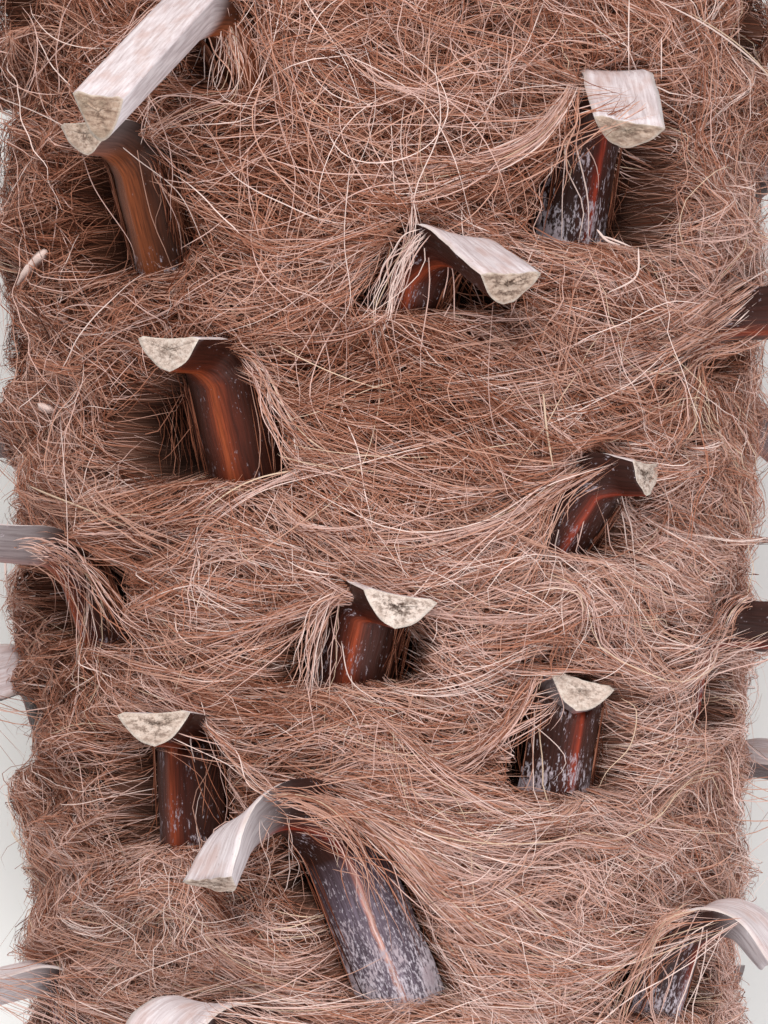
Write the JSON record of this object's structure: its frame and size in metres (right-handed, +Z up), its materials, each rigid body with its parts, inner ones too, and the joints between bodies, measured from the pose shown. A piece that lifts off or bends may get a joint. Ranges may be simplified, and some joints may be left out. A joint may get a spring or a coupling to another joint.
{
  "type": "windmill palm trunk section",
  "caption": "Cut length of windmill palm trunk lying down: wooden core, pruned leaf bases and tiers of shaggy brown fibre.",
  "frame": {"origin": "on the floor under the middle of the log's bounding box", "axes": "+Y along the trunk towards its upper end, +Z up from the floor, towards the side that the picture shows"},
  "size_m": [0.3364, 0.4212, 0.3477],
  "materials": {
    "wood": "sawn, pale brown",
    "leaf_base": "dark brown with an orange keel, weathered pale grey above, cream where it is cut",
    "fibre": "matt matted plant fibre, pinkish brown"
  },
  "bodies": {
    "root": {"trunk_core": "wood", "leaf_base_01": "leaf_base", "leaf_base_02": "leaf_base", "leaf_base_03": "leaf_base", "leaf_base_04": "leaf_base", "leaf_base_05": "leaf_base", "leaf_base_06": "leaf_base", "leaf_base_07": "leaf_base", "leaf_base_08": "leaf_base", "leaf_base_09": "leaf_base", "leaf_base_10": "leaf_base", "leaf_base_11": "leaf_base", "leaf_base_12": "leaf_base", "leaf_base_13": "leaf_base", "leaf_base_14": "leaf_base", "leaf_base_15": "leaf_base", "leaf_base_16": "leaf_base", "leaf_base_17": "leaf_base", "leaf_base_18": "leaf_base", "leaf_base_19": "leaf_base", "leaf_base_20": "leaf_base", "leaf_base_21": "leaf_base", "leaf_base_22": "leaf_base", "leaf_base_23": "leaf_base", "leaf_base_24": "leaf_base", "leaf_base_25": "leaf_base", "leaf_base_26": "leaf_base", "leaf_base_27": "leaf_base", "leaf_base_28": "leaf_base", "leaf_base_29": "leaf_base", "leaf_base_30": "leaf_base", "leaf_base_31": "leaf_base", "leaf_base_32": "leaf_base", "leaf_base_33": "leaf_base", "leaf_base_34": "leaf_base", "leaf_base_35": "leaf_base", "leaf_base_36": "leaf_base", "leaf_base_37": "leaf_base", "leaf_base_38": "leaf_base", "leaf_base_39": "leaf_base", "leaf_base_40": "leaf_base", "leaf_base_41": "leaf_base", "fibre_tier_1": "fibre", "fibre_tier_2": "fibre", "fibre_tier_3": "fibre", "fibre_tier_4": "fibre", "fibre_tier_5": "fibre"}
  },
  "joints": []
}
